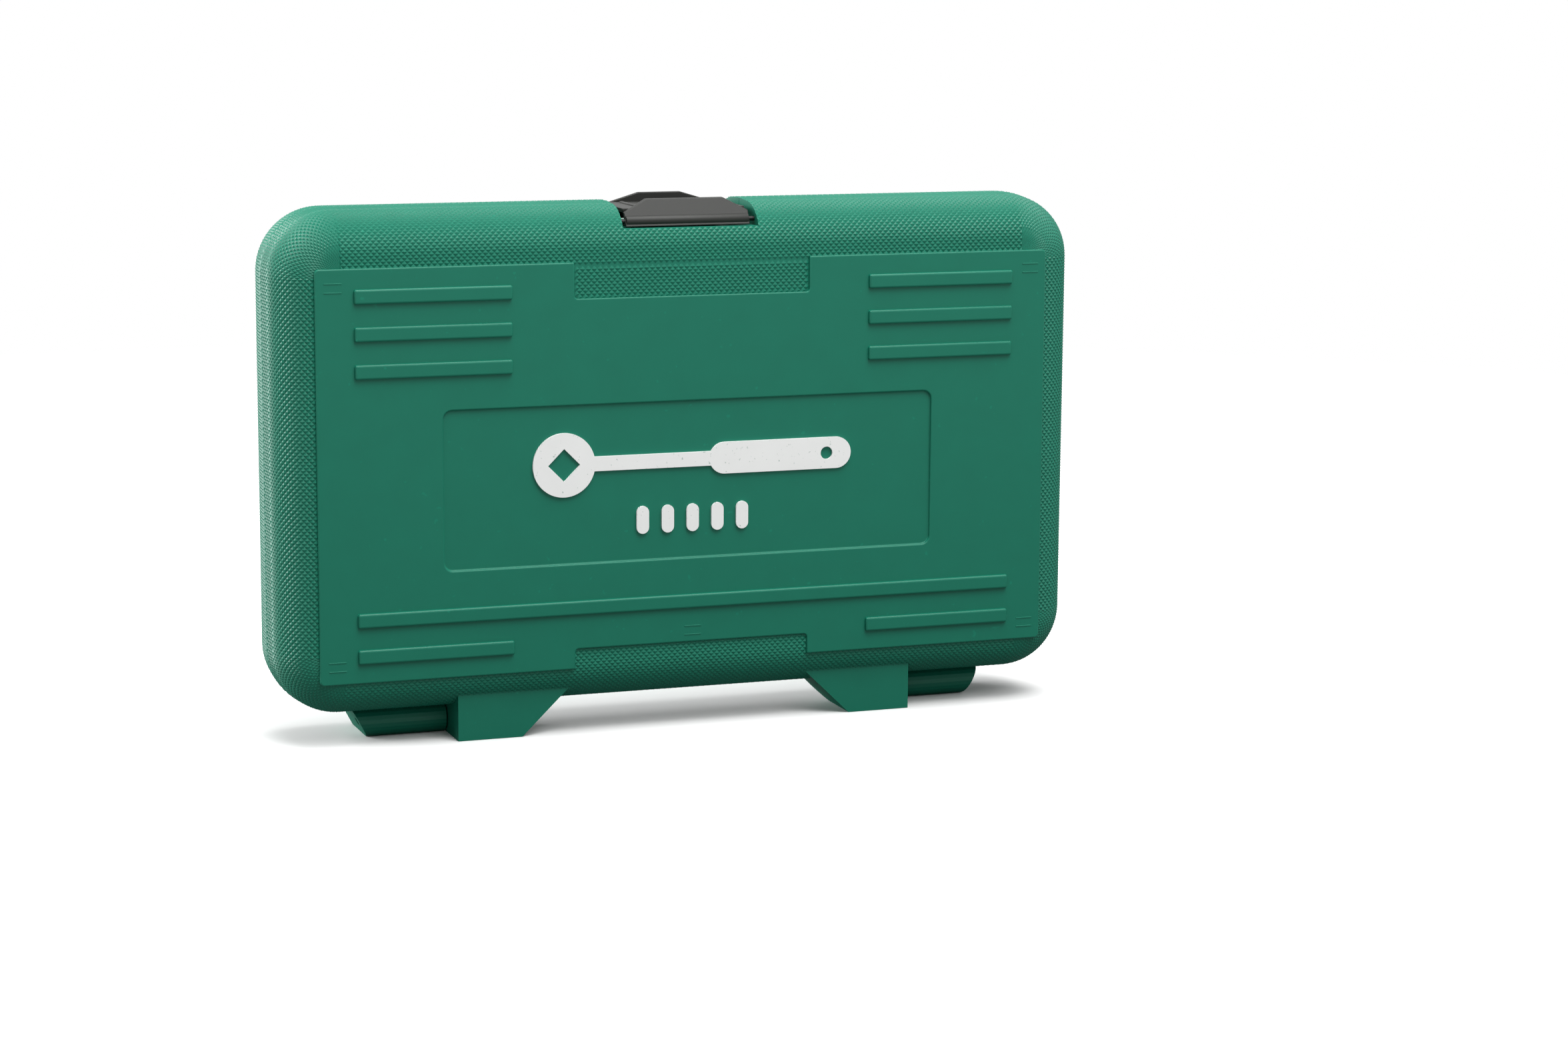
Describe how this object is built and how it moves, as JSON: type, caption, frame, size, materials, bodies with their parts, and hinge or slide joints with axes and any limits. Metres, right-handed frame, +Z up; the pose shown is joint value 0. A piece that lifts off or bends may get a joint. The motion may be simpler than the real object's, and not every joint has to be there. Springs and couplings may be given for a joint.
{
  "type": "socket wrench set in case",
  "caption": "Hinged moulded carrying case that stands on its hinge knuckles, with a snap latch and a tray of ratchet, sockets, bars and a universal joint.",
  "frame": {"origin": "middle of the case on the surface it stands on, in the parting plane of the two halves", "axes": "+X along the width, the lid faces -Y, +Z up as it stands on its knuckles"},
  "size_m": [0.288, 0.0484, 0.1829],
  "materials": {
    "case_green": "moulded, satin with a diamond texture",
    "latch_black": "satin",
    "mark_white": "printed",
    "pin_steel": "plain",
    "tray_black": "moulded, fine grain",
    "chrome": "satin chrome",
    "gear_steel": "machined",
    "spring_steel": "drawn",
    "grip_green": "moulded",
    "cap_black": "moulded",
    "insert_rubber": "moulded"
  },
  "bodies": {
    "base": {"base_shell": "case_green", "tool_tray": "tray_black", "hinge_pin_left": "pin_steel", "hinge_pin_right": "pin_steel", "plug_socket": "chrome", "plug_socket_insert": "insert_rubber", "extension_long": "chrome", "extension_short": "chrome", "extension_balls": "spring_steel", "universal_input": "chrome", "ratchet_handle": "chrome", "ratchet_grip": "grip_green", "grip_cap": "cap_black", "ratchet_cover": "chrome", "cover_screws": "pin_steel", "socket_08": "chrome", "socket_10": "chrome", "socket_11": "chrome", "socket_12": "chrome", "socket_13": "chrome", "socket_14": "chrome", "socket_17": "chrome", "socket_19": "chrome"},
    "lid": {"lid_shell": "case_green", "lid_liner": "tray_black", "emblem": "mark_white", "latch_pin": "pin_steel"},
    "latch": {"latch": "latch_black"},
    "universal_cross": {"universal_cross": "chrome", "universal_pins": "pin_steel"},
    "universal_output": {"universal_output": "chrome", "universal_ball": "spring_steel"},
    "ratchet_drive": {"drive_gear": "gear_steel", "drive_ball": "spring_steel", "button_spring": "spring_steel"},
    "release_button": {"release_button": "gear_steel"},
    "reverse_lever": {"reverse_lever": "gear_steel", "pawl_plunger": "gear_steel", "pawl_spring": "spring_steel"},
    "pawl": {"pawl": "gear_steel"}
  },
  "joints": [
    {"name": "lid_hinge", "type": "hinge", "parent": "base", "child": "lid", "pos_m": [0, 0, 0.0052], "axis": [1, 0, 0], "range_deg": [0, 180]},
    {"name": "latch_hinge", "type": "hinge", "parent": "lid", "child": "latch", "pos_m": [0, -0.0155, 0.1756], "axis": [1, 0, 0], "range_deg": [0, 110]},
    {"name": "drive_spin", "type": "hinge", "parent": "base", "child": "ratchet_drive", "pos_m": [-0.098, 0, 0.0475], "axis": [0, 1, 0], "continuous": true},
    {"name": "button_press", "type": "slide", "parent": "ratchet_drive", "child": "release_button", "axis": [0, 1, 0], "range_m": [0, 0.002], "stiffness_N_per_m": 300, "springref_m": -0.003, "deforming": ["button_spring"]},
    {"name": "lever_turn", "type": "hinge", "parent": "base", "child": "reverse_lever", "pos_m": [-0.0815, 0, 0.0475], "axis": [0, 1, 0], "range_deg": [0, 50]},
    {"name": "pawl_rock", "type": "hinge", "parent": "base", "child": "pawl", "pos_m": [-0.0815, 0, 0.0475], "axis": [0, 1, 0], "range_deg": [0, 20]},
    {"name": "universal_turn", "type": "hinge", "parent": "base", "child": "universal_cross", "pos_m": [0.006, 0.0055, 0.1115], "axis": [0, 0, 1], "range_deg": [-10, 10]},
    {"name": "universal_tilt", "type": "hinge", "parent": "universal_cross", "child": "universal_output", "pos_m": [0.006, 0.0055, 0.1115], "axis": [0, 1, 0], "range_deg": [-10, 10]}
  ],
  "couplings": [
    {"joint": "pawl_rock", "follows": "lever_turn", "ratio": 0.4}
  ]
}
